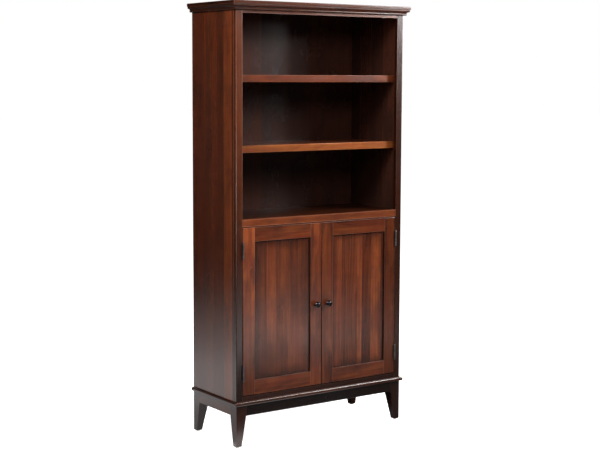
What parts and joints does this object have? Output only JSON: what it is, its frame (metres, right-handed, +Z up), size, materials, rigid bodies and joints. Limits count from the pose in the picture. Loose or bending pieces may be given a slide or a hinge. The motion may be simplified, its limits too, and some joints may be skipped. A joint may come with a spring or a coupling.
{
  "type": "bookcase with cabinet doors",
  "caption": "Tall free-standing wooden bookcase: open adjustable shelves above a cabinet with hinged, panelled doors, on a base with tapered legs.",
  "frame": {"origin": "on the floor under the middle of the crown board, which is the bottom centre of the bounding box", "axes": "+X to the right seen from the front, +Y to the back, +Z up; the doors and the open shelves face -Y"},
  "size_m": [0.914, 0.375, 1.842],
  "materials": {
    "case_wood": "dark cherry stain under satin lacquer",
    "back_wood": "dark stain under satin lacquer",
    "trim_wood": "dark cherry stain under satin lacquer",
    "door_panel_wood": "dark cherry stain under satin lacquer",
    "plain_wood": "thin brown stain, no gloss",
    "dark_bronze": "dark bronze lacquer, satin",
    "screw_steel": "zinc plated",
    "magnet_steel": "nickel plated",
    "glide_nylon": "smooth nylon"
  },
  "bodies": {
    "carcase": {"apron_back": "trim_wood", "apron_front": "trim_wood", "apron_left": "trim_wood", "apron_right": "trim_wood", "back_panel": "back_wood", "back_panel_screws": "screw_steel", "base_back_cleat": "plain_wood", "base_moulding_front": "trim_wood", "base_moulding_left": "trim_wood", "base_moulding_right": "trim_wood", "cabinet_floor": "case_wood", "case_screws": "screw_steel", "case_top_panel": "case_wood", "catch_magnets": "magnet_steel", "corner_blocks": "plain_wood", "crown_board": "trim_wood", "crown_moulding_front": "trim_wood", "crown_moulding_left": "trim_wood", "crown_moulding_right": "trim_wood", "door_stop_strip": "plain_wood", "fixed_shelf": "case_wood", "frame_bottom_rail": "trim_wood", "frame_middle_rail": "trim_wood", "frame_stile_left": "trim_wood", "frame_stile_right": "trim_wood", "frame_top_rail": "trim_wood", "hinge_frame_leaves": "dark_bronze", "hinge_frame_screws": "screw_steel", "hinge_pins": "dark_bronze", "leg_back_left": "trim_wood", "leg_back_right": "trim_wood", "leg_front_left": "trim_wood", "leg_front_right": "trim_wood", "leg_glides": "glide_nylon", "shelf_supports": "screw_steel", "side_panel_left": "case_wood", "side_panel_right": "case_wood"},
    "left_door": {"left_door_bottom_rail": "trim_wood", "left_door_hinge_leaves": "dark_bronze", "left_door_hinge_stile": "trim_wood", "left_door_knob": "dark_bronze", "left_door_lock_stile": "trim_wood", "left_door_panel": "door_panel_wood", "left_door_screws": "screw_steel", "left_door_strike_plate": "screw_steel", "left_door_top_rail": "trim_wood"},
    "right_door": {"right_door_bottom_rail": "trim_wood", "right_door_hinge_leaves": "dark_bronze", "right_door_hinge_stile": "trim_wood", "right_door_knob": "dark_bronze", "right_door_lock_stile": "trim_wood", "right_door_panel": "door_panel_wood", "right_door_screws": "screw_steel", "right_door_strike_plate": "screw_steel", "right_door_top_rail": "trim_wood"},
    "upper_shelf": {"upper_shelf_board": "case_wood", "upper_shelf_nosing": "trim_wood"},
    "middle_shelf": {"middle_shelf_board": "case_wood", "middle_shelf_nosing": "trim_wood"},
    "cabinet_shelf": {"cabinet_shelf_board": "case_wood"}
  },
  "joints": [
    {"name": "left_door_hinge", "type": "hinge", "parent": "carcase", "child": "left_door", "pos_m": [-0.4, -0.1672, 0.56725], "axis": [0, 0, -1], "range_deg": [0, 175]},
    {"name": "right_door_hinge", "type": "hinge", "parent": "carcase", "child": "right_door", "pos_m": [0.4, -0.1672, 0.56725], "axis": [0, 0, 1], "range_deg": [0, 175]},
    {"name": "upper_shelf_lift", "type": "slide", "parent": "carcase", "child": "upper_shelf", "axis": [0, 0, 1], "range_m": [0, 0.032]},
    {"name": "middle_shelf_lift", "type": "slide", "parent": "carcase", "child": "middle_shelf", "axis": [0, 0, 1], "range_m": [0, 0.032]},
    {"name": "cabinet_shelf_lift", "type": "slide", "parent": "carcase", "child": "cabinet_shelf", "axis": [0, 0, 1], "range_m": [0, 0.032]}
  ]
}
